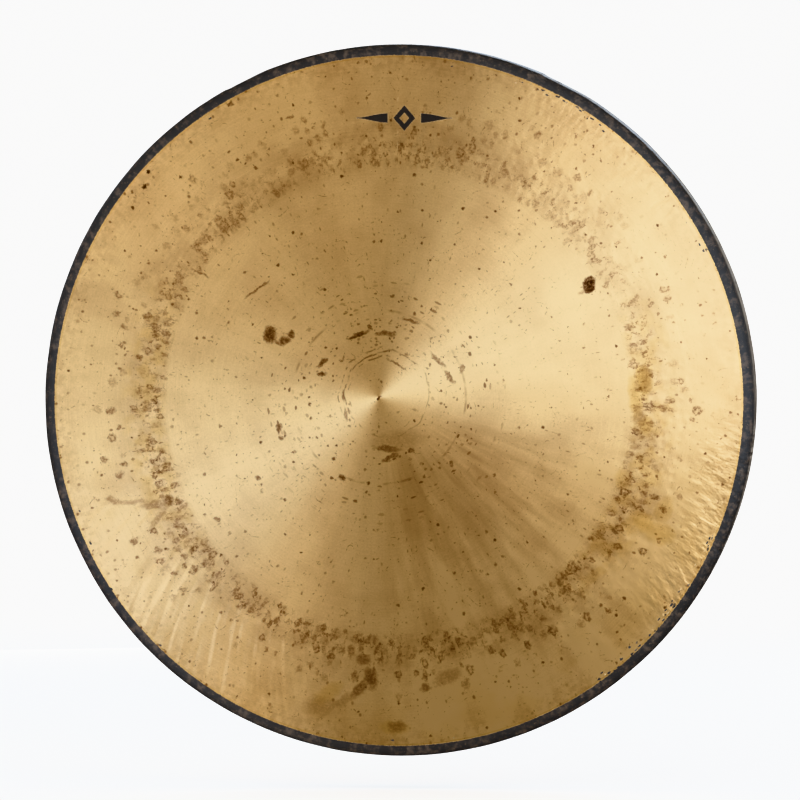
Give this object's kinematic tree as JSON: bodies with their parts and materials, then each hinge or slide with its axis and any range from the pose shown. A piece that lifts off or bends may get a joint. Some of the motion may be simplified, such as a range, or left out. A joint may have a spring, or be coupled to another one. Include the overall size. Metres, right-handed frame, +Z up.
{
  "type": "tam tam gong",
  "caption": "Flat-faced hanging gong of hammered, turned bronze with a rounded shoulder and a dark turned-back rim drilled for a hanging cord.",
  "frame": {"origin": "middle of the disc, halfway through its whole depth", "axes": "+Z up as the gong hangs, the struck face looks along -Y, the open back along +Y, +X to the viewer's right"},
  "size_m": [0.66, 0.056, 0.66],
  "materials": {
    "turned_bronze": "lathe-turned, hammered, patchy tarnish"
  },
  "bodies": {
    "root": {"gong_plate": "turned_bronze"}
  },
  "joints": []
}
